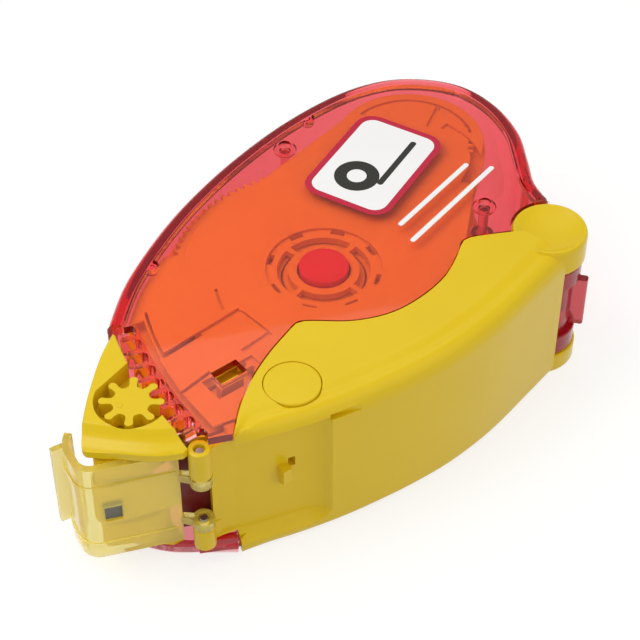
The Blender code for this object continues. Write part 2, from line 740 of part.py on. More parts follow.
def takeup_reel(shop, yellow, white):
    """The take-up reel: pinion, spool and the backing wound on it."""
    rear = takeup_centre()
    half_pitch = 180 / TAKEUP_TEETH
    teeth = toothed(
        TAKEUP_TEETH,
        TAKEUP_GEAR_RADIUS - 0.6,
        TAKEUP_GEAR_RADIUS + 0.4,
        REEL_BEARING_DEG + 180 + half_pitch,
        0.5,
        rear,
    )
    gear = prism("takeup_gear", [teeth, circle(2.3, 24, rear)], *REEL_GEAR)
    shop.piece(gear, yellow)
    spool = turned(
        "takeup_spool",
        rear,
        [
            (5.6, 22.4),
            (5.6, 19.6),
            (12.4, 19.6),
            (12.4, 18.8),
            (5.6, 18.8),
            (5.6, 9.6),
            (12.4, 9.6),
            (12.4, 8.8),
            (5.6, 8.8),
            (5.6, 5.1),
            (2.3, 5.1),
            (2.3, BRIDGE[1]),
            (3.1, BRIDGE[1]),
            (3.1, 22.4),
        ],
        36,
    )
    shop.piece(spool, yellow)
    wound = prism("takeup_winding", [circle(TAKEUP_ROLL_RADIUS, 40, rear), circle(5.9, 28, rear)], *TAPE)
    shop.piece(wound, white)
    for obj in (gear, wound):
        set_axis(obj, rear)


def guide_rollers(shop, yellow):
    for name, centre, radius in (
        ("front_guide_roller", FRONT_GUIDE, 1.8),
        ("rear_guide_roller", REAR_GUIDE, 2.0),
    ):
        profile = [
            (radius + 0.5, 19.3),
            (radius + 0.5, 18.9),
            (radius, 18.9),
            (radius, 9.5),
            (radius + 0.5, 9.5),
            (radius + 0.5, 9.1),
            (0.85 + GAP, 9.1),
            (0.85 + GAP, 19.3),
        ]
        shop.piece(turned(name, centre, profile, 24), yellow)


def tip(shop, yellow, rubber):
    """The applicator: two cheeks on a core, and the roller that presses the tape down."""
    cheek = capsule(THROAT, TIP_CENTRE, THROAT_RADIUS, 1.5)
    frame = prism("tip_frame", [cheek], 3.6, 8.8)
    core = capsule((-78.4, -3.1), (-80.8, -3.5), 2.0, 1.4, 8)
    shop.add(
        frame,
        prism("upper_cheek", [cheek], 19.6, 23.5),
        prism("core", [core], 8.4, 20.0),
    )
    shop.cut(frame, rod("axle_hole", TIP_CENTRE, 0.9, 5.0, 23.0, 16))
    shop.piece(frame, yellow)
    roller = turned(
        "tip_roller",
        TIP_CENTRE,
        [
            (TIP_ROLLER_RADIUS, 18.9),
            (TIP_ROLLER_RADIUS, 9.5),
            (0.9, 9.5),
            (0.9, 18.9),
        ],
        24,
    )
    shop.piece(roller, rubber)


def tape_path(stops):
    """A strip's centre line round stops: (centre, radius, side), side +1 if it turns left."""
    line = []
    for (start, r0, s0), (end, r1, s1) in zip(stops, stops[1:]):
        along = Vector((end[0] - start[0], end[1] - start[1]))
        lean = math.asin((s0 * r0 - s1 * r1) / along.length)
        heading = math.atan2(along.y, along.x) + lean
        across = Vector((math.sin(heading), -math.cos(heading)))
        line.append((Vector(start) + across * s0 * r0, Vector(end) + across * s1 * r1))
    points = [line[0][0]]
    for (_, arrive), (leave, _), (centre, radius, side) in zip(line, line[1:], stops[1:]):
        centre = Vector(centre)
        first = math.degrees(math.atan2(*(arrive - centre).yx))
        last = math.degrees(math.atan2(*(leave - centre).yx))
        sweep = (last - first) * side % 360 * side
        steps = max(2, int(abs(sweep) / 20))
        points += [Vector(p) for p in arc(radius, first, first + sweep, steps, centre)]
    return [tuple(point) for point in points + [line[-1][1]]]


def tapes(shop, white):
    """One strip runs from the supply reel round the tip and on to the take-up reel."""
    off = GAP + TAPE_THICKNESS / 2
    stops = [
        (SUPPLY_CENTRE, SUPPLY_ROLL_RADIUS + off, 1),
        (FRONT_GUIDE, 1.8 + off, -1),
        (TIP_CENTRE, TIP_ROLLER_RADIUS + off, 1),
        (LOWER_GUIDE, 1.1 + off, 1),
        (REAR_GUIDE, 2.0 + off, 1),
        (takeup_centre(), TAKEUP_ROLL_RADIUS + off, -1),
    ]
    path = tape_path(stops)
    half = TAPE_THICKNESS / 2
    shop.piece(prism("tape_ribbon", [band(path, half, half)], *TAPE), white)


def main():
    clear_scene()
    shop = Workshop()
    red = plastic("red_translucent", RED, 0.15)
    yellow = plastic("yellow_plastic", YELLOW, 0.35)
    clear = plastic("clear_yellow", CLEAR_YELLOW, 0.08)
    white = plastic("tape_white", WHITE, 0.6)
    steel = plastic("pin_steel", STEEL, 0.3, 1.0)
    rubber = plastic("roller_rubber", RUBBER, 0.5)
    case_shell(shop, red)
    top_cover(shop, red)
    grip_shell(shop, yellow)
    nose_frame(shop, yellow)
    grip_plug(shop, yellow)
    hinge_pins(shop, steel)
    thumb_gear(shop, yellow, steel)
    cap(shop, clear)
    cassette_plates(shop, yellow)
    catch_arm(shop, yellow)
    posts(shop, red, yellow, steel)
    supply_reel(shop, yellow, white, steel)
    takeup_reel(shop, yellow, white)
    guide_rollers(shop, yellow)
    tip(shop, yellow, rubber)
    tapes(shop, white)


main()
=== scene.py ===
"""The looks of the refillable tape roller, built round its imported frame.

Plan positions are millimetres from the tail hinge, as in the CAD model: +X points from
the nose towards the tail and +Y towards the hump. place() turns them into metres in the
frame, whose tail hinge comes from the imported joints.
"""

import json
import math

import bmesh
import bpy
from mathutils import Matrix, Vector


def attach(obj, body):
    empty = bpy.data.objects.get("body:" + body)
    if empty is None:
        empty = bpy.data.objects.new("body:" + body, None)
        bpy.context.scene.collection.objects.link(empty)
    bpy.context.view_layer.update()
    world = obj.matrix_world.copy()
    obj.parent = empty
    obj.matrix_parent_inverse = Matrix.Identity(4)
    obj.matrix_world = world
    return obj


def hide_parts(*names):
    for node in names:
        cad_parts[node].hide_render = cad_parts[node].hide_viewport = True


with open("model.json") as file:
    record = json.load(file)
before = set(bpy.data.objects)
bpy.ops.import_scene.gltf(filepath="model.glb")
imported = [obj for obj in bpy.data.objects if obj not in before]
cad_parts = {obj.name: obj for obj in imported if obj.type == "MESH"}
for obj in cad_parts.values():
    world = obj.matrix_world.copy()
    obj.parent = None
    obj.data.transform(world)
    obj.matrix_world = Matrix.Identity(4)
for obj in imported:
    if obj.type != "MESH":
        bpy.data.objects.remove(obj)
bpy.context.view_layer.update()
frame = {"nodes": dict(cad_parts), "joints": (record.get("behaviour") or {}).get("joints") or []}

MM = 0.001
JOINTS = {joint["name"]: joint for joint in frame["joints"]}
HINGE = Vector(JOINTS["chassis_swing"]["pos_m"])


def joint_centre(name):
    """A joint's place in plan millimetres from the tail hinge."""
    there = Vector(JOINTS[name]["pos_m"]) - HINGE
    return (there.x / MM, there.y / MM)


HEIGHT = 28.5
KNUCKLE_RADIUS = 6.35
GAP = 0.3
GEAR_CENTRE = joint_centre("thumb_gear_spin")
CAP_AXIS = joint_centre("cap_hinge")
SUPPLY_CENTRE = joint_centre("supply_spin")
TAKEUP_CENTRE = joint_centre("takeup_spin")

# The thumb gear and its rack.
GEAR_TEETH = 8
GEAR_PITCH_RADIUS = 4.0
GEAR_TIP_RADIUS = 5.05
GEAR_ROOT_RADIUS = 2.85
GEAR_PHASE_DEG = 14.0
RACK_PITCH_RADIUS = -GEAR_CENTRE[0] - GEAR_PITCH_RADIUS
RACK_RATIO = RACK_PITCH_RADIUS / GEAR_PITCH_RADIUS
RACK_PITCH_DEG = 360 / GEAR_TEETH / RACK_RATIO
RACK_TIP_RADIUS = 74.15
RACK_SLOT_RADIUS = 71.25
RACK_SLOT_HALF = 1.02
RACK_SLOTS = range(3, -5, -1)
NOSE_INNER_RADIUS = 74.6

RIM_WIDTH = 2.35
WALL = 1.6
SHELL_FLOOR = 1.5
BARREL_LOW = 4.0
BARREL_HIGH = 22.8
STOP_TAB_DEG = 317.0
DECK_LOW = 25.85
DECK_HIGH = 26.25
PRINT_LOW = 28.4
CAMERA_SPOT = (-148.3, -180.0, 236.95)
CAMERA_AIM = (-43.94, 0.42, HEIGHT)
BOSSES = ((-27.6, 40.9), (-5.8, 10.9))
RIM_STUDS = ((-20.5, 45.3), (-61.4, 25.1))
COVER_LOW = 27.0
PLUG_CENTRE = (-54.4, -9.2)
CATCH_WINDOW = (-61.7, -2.3)
CAP_WINDOW = (-84.7, -6.8)


# --- Outlines in plan millimetres -------------------------------------------------


def polar(radius, degrees, centre=(0.0, 0.0)):
    angle = math.radians(degrees)
    return (centre[0] + radius * math.cos(angle), centre[1] + radius * math.sin(angle))


def arc(radius, start, end, steps, centre=(0.0, 0.0)):
    return [polar(radius, start + (end - start) * i / steps, centre) for i in range(steps + 1)]


def circle(radius, steps=48, centre=(0.0, 0.0)):
    return [polar(radius, 360 * i / steps, centre) for i in range(steps)]


def smooth(points, steps=8):
    """A Catmull-Rom curve through the points."""
    ends = [points[0]] + list(points) + [points[-1]]
    curve = []
    for before, start, end, after in zip(ends, ends[1:], ends[2:], ends[3:]):
        for i in range(steps):
            t = i / steps
            curve.append(
                tuple(
                    0.5 * (2 * p1 + (p2 - p0) * t + (2 * p0 - 5 * p1 + 4 * p2 - p3) * t**2)
                    + 0.5 * (3 * p1 - p0 - 3 * p2 + p3) * t**3
                    for p0, p1, p2, p3 in zip(before, start, end, after)
                )
            )
    return curve + [tuple(points[-1])]


def resampled(points, count):
    """The chain redrawn with count evenly spaced points."""
    lengths = [0.0]
    for a, b in zip(points, points[1:]):
        lengths.append(lengths[-1] + math.dist(a, b))
    chain = []
    leg = 0
    for i in range(count):
        target = lengths[-1] * i / (count - 1)
        while leg < len(points) - 2 and lengths[leg + 1] < target:
            leg += 1
        share = (target - lengths[leg]) / max(lengths[leg + 1] - lengths[leg], 1e-9)
        a, b = points[leg], points[leg + 1]
        chain.append((a[0] + (b[0] - a[0]) * share, a[1] + (b[1] - a[1]) * share))
    return chain


def shifted(points, distance):
    """The chain moved to its right-hand side by distance."""
    moved = []
    for i, here in enumerate(points):
        before = points[max(i - 1, 0)]
        after = points[min(i + 1, len(points) - 1)]
        along = Vector((after[0] - before[0], after[1] - before[1])).normalized()
        moved.append((here[0] + distance * along.y, here[1] - distance * along.x))
    return moved


def band(points, left, right):
    """A closed strip along the chain, from left of it to right of it."""
    return shifted(points, -left) + shifted(points, right)[::-1]


def rectangle(centre, length, width, degrees=0.0):
    turn = Matrix.Rotation(math.radians(degrees), 2)
    corners = ((-1, -1), (1, -1), (1, 1), (-1, 1))
    ends = [turn @ Vector((length / 2 * i, width / 2 * j)) for i, j in corners]
    return [(centre[0] + end.x, centre[1] + end.y) for end in ends]


def rounded_rectangle(centre, length, width, radius, degrees=0.0, steps=5):
    turn = Matrix.Rotation(math.radians(degrees), 2)
    outline = []
    for start, i, j in ((0, 1, 1), (90, -1, 1), (180, -1, -1), (270, 1, -1)):
        middle = ((length / 2 - radius) * i, (width / 2 - radius) * j)
        for x, y in arc(radius, start, start + 90, steps, middle):
            corner = turn @ Vector((x, y))
            outline.append((centre[0] + corner.x, centre[1] + corner.y))
    return outline


def anticlockwise(loop):
    area = sum(a[0] * b[1] - b[0] * a[1] for a, b in zip(loop, loop[1:] + loop[:1]))
    return loop if area > 0 else loop[::-1]


def inset(loop, distances):
    """The closed anticlockwise loop moved inwards by one distance, or one for each point."""
    if not isinstance(distances, (list, tuple)):
        distances = [distances] * len(loop)
    moved = []
    for i, here in enumerate(loop):
        a = Vector(here) - Vector(loop[i - 1])
        b = Vector(loop[(i + 1) % len(loop)]) - Vector(here)
        a.normalize()
        b.normalize()
        normal = Vector((-a.y - b.y, a.x + b.x))
        if normal.length < 1e-6:
            normal = Vector((-b.y, b.x))
        normal.normalize()
        reach = distances[i] / max(0.55, normal.dot(Vector((-b.y, b.x))))
        moved.append((here[0] + normal.x * reach, here[1] + normal.y * reach))
    return moved


HUMP = smooth(
    [
        (-73.4, 16.5),
        (-67.0, 23.8),
        (-58.6, 30.6),
        (-49.5, 36.5),
        (-38.0, 42.2),
        (-25.0, 46.9),
        (-12.5, 49.3),
        (-3.0, 48.6),
        (4.2, 44.9),
        (9.0, 39.4),
        (10.9, 32.0),
        (10.2, 24.0),
        (7.4, 17.0),
        (5.0, 11.6),
        (4.4, 7.0),
    ]
)

SEAM = smooth(
    [
        (-6.0, 2.7),
        (-9.4, 3.9),
        (-12.6, 4.9),
        (-14.6, 4.6),
        (-17.0, 2.4),
        (-21.6, -0.9),
        (-27.5, -3.0),
        (-33.5, -3.6),
        (-39.5, -2.1),
        (-45.2, 1.2),
        (-47.4, 1.9),
        (-49.8, 0.8),
        (-54.4, -1.7),
        (-59.4, -5.2),
        (-63.8, -9.4),
        (-67.2, -13.8),
    ],
    6,
)

GRIP_EDGE = smooth(
    [
        (-0.9, -6.28),
        (-8.0, -9.1),
        (-18.0, -12.9),
        (-27.0, -15.2),
        (-35.0, -16.2),
        (-42.5, -16.5),
        (-49.5, -16.4),
        (-56.5, -15.8),
        (-63.0, -14.8),
        (-66.8, -14.0),
    ]
)

CAP_FACE = (
    [(-74.6, -9.9), (-77.6, -9.16), (-80.9, -8.3)]
    + arc(3.2, 254, 182, 12, (-86.2, -3.6))
    + [(-89.3, -0.6), (-88.9, 0.6), (-88.3, 1.7), (-87.6, 2.6)]
)


def rack_edge():
    """The cover's toothed front edge, from its grip end to its rim end."""
    slot_zero = 180 - GEAR_PHASE_DEG / RACK_RATIO
    past_first = slot_zero + (RACK_SLOTS[0] + 1) * RACK_PITCH_DEG
    edge = [polar(RACK_SLOT_RADIUS, past_first + 0.4)]
    relief = past_first - 0.8
    edge += [polar(RACK_SLOT_RADIUS, relief + 0.4), polar(RACK_SLOT_RADIUS + 0.5, relief)]
    edge += [polar(RACK_TIP_RADIUS - 0.5, relief), polar(RACK_TIP_RADIUS, relief - 0.16)]
    end_radius = RACK_SLOT_HALF * 0.85
    for slot in RACK_SLOTS:
        angle = math.radians(slot_zero + slot * RACK_PITCH_DEG)
        out = Vector((math.cos(angle), math.sin(angle)))
        across = Vector((-out.y, out.x))
        side = [(RACK_TIP_RADIUS, RACK_SLOT_HALF + 0.22), (RACK_TIP_RADIUS - 0.45, RACK_SLOT_HALF)]
        foot = [
            (RACK_SLOT_RADIUS + end_radius - y, RACK_SLOT_HALF - end_radius + x)
            for x, y in arc(end_radius, 0, 90, 4)
        ]
        half = side + foot
        for radius, reach in half + [(radius, -reach) for radius, reach in half[::-1]]:
            point = out * radius + across * reach
            edge.append((point.x, point.y))
    return edge


def petals():
    """The thumb gear's outline, with round-ended teeth."""
    outline = []
    for tooth in range(GEAR_TEETH):
        turn = Matrix.Rotation(math.radians(GEAR_PHASE_DEG + tooth * 360 / GEAR_TEETH), 2)
        half = [(GEAR_ROOT_RADIUS - 0.1, -0.98), (GEAR_ROOT_RADIUS + 0.12, -0.66)]
        half += [(3.5, -0.55), (4.0, -0.6), (GEAR_TIP_RADIUS - 0.7, -0.66)]
        tip = arc(0.68, -70, 70, 8, (GEAR_TIP_RADIUS - 0.68, 0.0))
        for x, y in half + tip + [(x, -y) for x, y in half[::-1]]:
            corner = turn @ Vector((x, y))
            outline.append((GEAR_CENTRE[0] + corner.x, GEAR_CENTRE[1] + corner.y))
    return outline


# --- Mesh tools -------------------------------------------------------------------


def place(x, y, z):
    """A point in plan millimetres, in metres in the frame."""
    return Vector((HINGE.x + x * MM, HINGE.y + y * MM, z * MM))


def closed_object(name, built):
    """An object of the bmesh, with its faces turned outwards."""
    bmesh.ops.recalc_face_normals(built, faces=built.faces)
    mesh = bpy.data.meshes.new(name)
    built.to_mesh(mesh)
    built.free()
    obj = bpy.data.objects.new(name, mesh)
    bpy.context.scene.collection.objects.link(obj)
    return obj


def from_rings(name, rings):
    """A closed mesh through rings of (x, y, z) plan points, capped at both ends."""
    built = bmesh.new()
    rows = [[built.verts.new(place(*point)) for point in ring] for ring in rings]
    for low, high in zip(rows, rows[1:]):
        for i in range(len(low)):
            j = (i + 1) % len(low)
            built.faces.new((low[i], low[j], high[j], high[i]))
    built.faces.new(rows[0][::-1])
    built.faces.new(rows[-1])
    return closed_object(name, built)


def at_height(loop, z):
    return [(x, y, z) for x, y in loop]


def slab(name, loop, low, high):
    loop = anticlockwise(loop)
    return from_rings(name, [at_height(loop, low), at_height(loop, high)])


def pillow(name, loop, low, high, top, bottom, steps=5):
    """An upright slab whose top and bottom edges are rounded."""
    loop = anticlockwise(loop)
    rings = []
    for i in range(steps + 1):
        turn = math.radians(90 * i / steps)
        ring = inset(loop, bottom * (1 - math.sin(turn)))
        rings.append(at_height(ring, low + bottom * (1 - math.cos(turn))))
    for i in range(steps + 1):
        turn = math.radians(90 * i / steps)
        ring = inset(loop, top * (1 - math.cos(turn)))
        rings.append(at_height(ring, high - top * (1 - math.sin(turn))))
    return from_rings(name, rings)


def sweep(name, path, section):
    """A closed (inwards, z) section swept along a chain, with inwards on its right-hand side."""
    chains = [shifted(path, reach) for reach, _ in section]
    rings = [
        [(*chain[i], z) for chain, (_, z) in zip(chains, section)] for i in range(len(path))
    ]
    return from_rings(name, rings)


def lathe(name, centre, profile, steps=64):
    """A solid of revolution about an upright axis through (radius, z) pairs.

    A profile that starts and ends on the axis is capped there; any other closes on itself.
    """
    on_axis = profile[0][0] == 0
    built = bmesh.new()
    rows = []
    for radius, z in profile:
        if radius == 0:
            rows.append([built.verts.new(place(*centre, z))])
        else:
            ring = circle(radius, steps, centre)
            rows.append([built.verts.new(place(x, y, z)) for x, y in ring])
    pairs = list(zip(rows, rows[1:]))
    if not on_axis:
        pairs.append((rows[-1], rows[0]))
    for first, second in pairs:
        for i in range(steps):
            j = (i + 1) % steps
            if len(first) == 1:
                built.faces.new((first[0], second[j], second[i]))
            elif len(second) == 1:
                built.faces.new((first[i], first[j], second[0]))
            else:
                built.faces.new((first[i], first[j], second[j], second[i]))
    return closed_object(name, built)


def boolean(obj, operation, others):
    """Applies a Boolean with each of the others, which are then removed."""
    for other in others:
        step = obj.modifiers.new("step", "BOOLEAN")
        step.operation = operation
        step.object = other
        bpy.context.view_layer.update()
        evaluated = obj.evaluated_get(bpy.context.evaluated_depsgraph_get())
        mesh = bpy.data.meshes.new_from_object(evaluated)
        obj.modifiers.clear()
        obj.data = mesh
        mesh.name = obj.name
        bpy.data.objects.remove(other, do_unlink=True)


def cut(obj, *others):
    boolean(obj, "DIFFERENCE", others)


def add(obj, *others):
    boolean(obj, "UNION", others)


def keep_inside(obj, *others):
    boolean(obj, "INTERSECT", others)


def soften(obj, width, segments=3, angle=30):
    """Rounds the sharp edges and shades the faces smoothly between them."""
    bevel = obj.modifiers.new("edge_rounding", "BEVEL")
    bevel.width = width * MM
    bevel.segments = segments
    bevel.limit_method = "ANGLE"
    bevel.angle_limit = math.radians(angle)
    bevel.use_clamp_overlap = True
    bevel.miter_outer = "MITER_ARC"
    obj.data.shade_smooth()
    even = obj.modifiers.new("even_shading", "WEIGHTED_NORMAL")
    even.weight = 80
    even.keep_sharp = True


def finish_piece(obj, material, body, slot, *nodes):
    """Gives a piece its material and its body, and hides the CAD nodes it replaces. The slot is not used.
    """
    obj.data.materials.clear()
    obj.data.materials.append(material)
    for polygon in obj.data.polygons:
        polygon.material_index = 0
    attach(obj, body)
    if nodes:
        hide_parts(*nodes)


# --- Materials --------------------------------------------------------------------


GRAIN_DEPTH = 0.000004


def node_material(name):
    """A new material with an empty node tree, and that tree."""
    material = bpy.data.materials.new(name)
    material.use_nodes = True
    tree = material.node_tree
    tree.nodes.clear()
    return material, tree


def node(tree, kind, **values):
    """A new node with its settings, or its inputs of those names, set to the values."""
    made = tree.nodes.new(kind)
    for key, value in values.items():
        if hasattr(made, key):
            setattr(made, key, value)
        else:
            made.inputs[key.replace("_", " ")].default_value = value
    return made


def moulded(name, colour, shade, roughness, metallic=0.0):
    """Opaque moulded plastic: faint drifts of tone, fine grain and uneven gloss."""
    material, tree = node_material(name)
    link = tree.links.new
    place_node = tree.nodes.new("ShaderNodeTexCoord")
    drift = node(tree, "ShaderNodeTexNoise", Scale=70.0, Detail=3.0, Roughness=0.55)
    link(place_node.outputs["Object"], drift.inputs["Vector"])
    ramp = tree.nodes.new("ShaderNodeValToRGB")
    ramp.color_ramp.elements[0].position = 0.3
    ramp.color_ramp.elements[0].color = (*shade, 1)
    ramp.color_ramp.elements[1].position = 0.7
    ramp.color_ramp.elements[1].color = (*colour, 1)
    link(drift.outputs["Fac"], ramp.inputs["Fac"])
    fine = node(tree, "ShaderNodeTexNoise", Scale=2600.0, Detail=2.0, Roughness=0.6)
    link(place_node.outputs["Object"], fine.inputs["Vector"])
    gloss = tree.nodes.new("ShaderNodeMapRange")
    gloss.inputs["To Min"].default_value = roughness - 0.02
    gloss.inputs["To Max"].default_value = roughness + 0.03
    link(fine.outputs["Fac"], gloss.inputs["Value"])
    bump = node(tree, "ShaderNodeBump", Strength=0.35, Distance=GRAIN_DEPTH)
    link(fine.outputs["Fac"], bump.inputs["Height"])
    shader = tree.nodes.new("ShaderNodeBsdfPrincipled")
    shader.inputs["Specular IOR Level"].default_value = 0.3
    shader.inputs["Metallic"].default_value = metallic
    link(ramp.outputs["Color"], shader.inputs["Base Color"])
    link(gloss.outputs["Result"], shader.inputs["Roughness"])
    link(bump.outputs["Normal"], shader.inputs["Normal"])
    out = tree.nodes.new("ShaderNodeOutputMaterial")
    link(shader.outputs["BSDF"], out.inputs["Surface"])
    return material


def tinted_clear(name, absorbed, density, tint, body, haze, roughness, waviness, ior=1.3):
    """Clear tinted plastic: glass that soaks up light with depth and lets lamps through.

    A share of it, the haze, is plain coloured plastic, which keeps its edges bright.
    """
    material, tree = node_material(name)
    link = tree.links.new
    place_node = tree.nodes.new("ShaderNodeTexCoord")
    waves = node(tree, "ShaderNodeTexNoise", Scale=120.0, Detail=2.0, Roughness=0.5)
    link(place_node.outputs["Object"], waves.inputs["Vector"])
    bump = node(tree, "ShaderNodeBump", Strength=0.3, Distance=waviness)
    link(waves.outputs["Fac"], bump.inputs["Height"])
    frost = tree.nodes.new("ShaderNodeMapRange")
    frost.inputs["To Min"].default_value = max(0.0, roughness - 0.02)
    frost.inputs["To Max"].default_value = roughness + 0.03
    link(waves.outputs["Fac"], frost.inputs["Value"])
    glass = tree.nodes.new("ShaderNodeBsdfPrincipled")
    glass.inputs["Base Color"].default_value = (*tint, 1)
    glass.inputs["Transmission Weight"].default_value = 1.0
    glass.inputs["IOR"].default_value = ior
    glass.inputs["Coat Weight"].default_value = 0.6
    glass.inputs["Coat Roughness"].default_value = 0.03
    link(frost.outputs["Result"], glass.inputs["Roughness"])
    link(bump.outputs["Normal"], glass.inputs["Normal"])
    cloud = tree.nodes.new("ShaderNodeValToRGB")
    cloud.color_ramp.elements[0].color = (*[channel * 0.9 for channel in body], 1)
    cloud.color_ramp.elements[1].color = (*body, 1)
    link(waves.outputs["Fac"], cloud.inputs["Fac"])
    solid = tree.nodes.new("ShaderNodeBsdfPrincipled")
    solid.inputs["Roughness"].default_value = 0.3
    link(cloud.outputs["Color"], solid.inputs["Base Color"])
    hazed = tree.nodes.new("ShaderNodeMixShader")
    hazed.inputs["Fac"].default_value = haze
    link(glass.outputs["BSDF"], hazed.inputs[1])
    link(solid.outputs["BSDF"], hazed.inputs[2])
    through = tree.nodes.new("ShaderNodeBsdfTransparent")
    through.inputs["Color"].default_value = (*tint, 1)
    ray = tree.nodes.new("ShaderNodeLightPath")
    mix = tree.nodes.new("ShaderNodeMixShader")
    link(ray.outputs["Is Shadow Ray"], mix.inputs["Fac"])
    link(hazed.outputs["Shader"], mix.inputs[1])
    link(through.outputs["BSDF"], mix.inputs[2])
    soak = tree.nodes.new("ShaderNodeVolumeAbsorption")
    soak.inputs["Color"].default_value = (*absorbed, 1)
    soak.inputs["Density"].default_value = density
    out = tree.nodes.new("ShaderNodeOutputMaterial")
    link(mix.outputs["Shader"], out.inputs["Surface"])
    link(soak.outputs["Volume"], out.inputs["Volume"])
    return material


YELLOW = moulded("yellow_shell", (0.83, 0.59, 0.010), (0.81, 0.57, 0.008), 0.24)
# Painted light: the same yellow plastic made lighter for the pieces inside, to make up for the light the
# red cover and the clear cap hold back.
YELLOW_INNER_PAINTED_LIGHT = moulded("yellow_inner_painted_light", (0.90, 0.68, 0.02), (0.87, 0.62, 0.016), 0.45)
COVER_RED = tinted_clear(
    "cover_red",
    absorbed=(0.98, 0.05, 0.12),
    density=430.0,
    tint=(1.0, 0.94, 0.95),
    body=(0.90, 0.03, 0.03),
    haze=0.05,
    roughness=0.02,
    waviness=0.00001,
)
SHELL_RED = tinted_clear(
    "shell_red",
    absorbed=(0.985, 0.04, 0.10),
    density=520.0,
    tint=(1.0, 0.90, 0.92),
    body=(1.0, 0.015, 0.05),
    haze=0.10,
    roughness=0.02,
    waviness=0.00002,
    ior=1.2,
)
# A deeper, denser copy of the red: the hinge barrel's darker red, and painted shade on the shell's front
# lip, which stands for the shadow along that edge.
DEEP_RED_AND_PAINTED_SHADE = tinted_clear(
    "deep_red_and_painted_shade",
    absorbed=(0.97, 0.03, 0.09),
    density=900.0,
    tint=(1.0, 0.80, 0.84),
    body=(0.55, 0.01, 0.03),
    haze=0.4,
    roughness=0.03,
    waviness=0.00002,
)
CAP_CLEAR = tinted_clear(
    "cap_clear",
    absorbed=(0.99, 0.92, 0.30),
    density=420.0,
    tint=(1.0, 0.98, 0.86),
    body=(1.0, 0.86, 0.16),
    haze=0.36,
    roughness=0.03,
    waviness=0.00002,
    ior=1.2,
)
RED_POST = moulded("red_post", (0.80, 0.045, 0.05), (0.74, 0.03, 0.04), 0.3)
TAPE_FILM = moulded("tape_film", (0.92, 0.74, 0.20), (0.88, 0.68, 0.15), 0.5)
STEEL = moulded("pin_steel", (0.62, 0.63, 0.65), (0.55, 0.56, 0.58), 0.3, metallic=1.0)
RUBBER = moulded("tip_rubber", (0.80, 0.58, 0.12), (0.72, 0.50, 0.09), 0.55)
# Painted shadow: a near-black red for the strip in the gap between the case rim and the cover.
PAINTED_SEAM_SHADOW = moulded("seam_shadow", (0.09, 0.006, 0.01), (0.05, 0.004, 0.006), 0.5)
STICKER = moulded("sticker_white", (0.98, 0.98, 0.98), (0.96, 0.96, 0.96), 0.3)
# Painted shade: an opaque dark maroon for the wall seen between the cap's lugs, standing for the shade
# there.
MAROON_PAINTED_SHADE = moulded("maroon_painted_shade", (0.17, 0.006, 0.016), (0.14, 0.005, 0.012), 0.3)
PAD_GREY = moulded("pad_grey", (0.20, 0.20, 0.19), (0.16, 0.16, 0.15), 0.4)
INK = moulded("sticker_ink", (0.035, 0.035, 0.03), (0.03, 0.03, 0.025), 0.35)
STICKER_EDGE = moulded("sticker_border", (0.60, 0.02, 0.06), (0.55, 0.015, 0.05), 0.3)


# --- The camera, light and floor --------------------------------------------------


def floor_white():
    """A white floor that lights the pieces less than it shows, so that they stay clean."""
    material, tree = node_material("floor_white")
    link = tree.links.new
    matt = node(tree, "ShaderNodeBsdfDiffuse", Color=(0.36, 0.36, 0.36, 1))
    glow = node(tree, "ShaderNodeEmission", Color=(1.0, 1.0, 1.0, 1), Strength=0.72)
    dim = node(tree, "ShaderNodeEmission", Color=(1.0, 0.99, 0.98, 1), Strength=0.22)
    ray = tree.nodes.new("ShaderNodeLightPath")
    choice = tree.nodes.new("ShaderNodeMixShader")
    both = tree.nodes.new("ShaderNodeAddShader")
    out = tree.nodes.new("ShaderNodeOutputMaterial")
    link(ray.outputs["Is Diffuse Ray"], choice.inputs["Fac"])
    link(glow.outputs["Emission"], choice.inputs[1])
    link(dim.outputs["Emission"], choice.inputs[2])
    link(matt.outputs["BSDF"], both.inputs[0])
    link(choice.outputs["Shader"], both.inputs[1])
    link(both.outputs["Shader"], out.inputs["Surface"])
    return material


def set_stage():
    scene = bpy.context.scene
    lens = bpy.data.cameras.new("camera")
    lens.lens = 105.0
    lens.sensor_width = 36.0
    camera = bpy.data.objects.new("camera", lens)
    scene.collection.objects.link(camera)
    camera.location = place(*CAMERA_SPOT)
    towards = place(*CAMERA_AIM) - camera.location
    camera.rotation_euler = towards.to_track_quat("-Z", "Y").to_euler()
    lens.clip_start = 0.01
    lens.clip_end = 10.0
    scene.camera = camera

    scene.view_settings.view_transform = "Standard"
    world = bpy.data.worlds.new("studio")
    world.use_nodes = True
    sky = world.node_tree.nodes["Background"]
    sky.inputs["Color"].default_value = (1.0, 0.99, 0.98, 1)
    sky.inputs["Strength"].default_value = 0.52
    scene.world = world

    white = (1.0, 1.0, 1.0)
    for name, spot, aim, size, watts, colour in (
        ("key", (-170, 60, 260), (-45, 10, 10), 0.16, 0.23, white),
        ("fill", (40, -230, 150), (-40, 0, 10), 0.25, 0.15, (1.0, 0.88, 0.66)),
        ("top", (-20, 80, 300), (-40, 10, 10), 0.30, 0.16, white),
    ):
        lamp = bpy.data.lights.new(name, "AREA")
        lamp.shape = "SQUARE"
        lamp.size = size
        lamp.energy = watts
        lamp.color = colour
        holder = bpy.data.objects.new(name, lamp)
        scene.collection.objects.link(holder)
        holder.location = place(*spot)
        towards = place(*aim) - holder.location
        holder.rotation_euler = towards.to_track_quat("-Z", "Y").to_euler()

    floor = slab("floor", [(-1200, -1200), (1200, -1200), (1200, 1200), (-1200, 1200)], -6.0, -0.02)
    floor.data.materials.append(floor_white())


# --- The red housing --------------------------------------------------------------


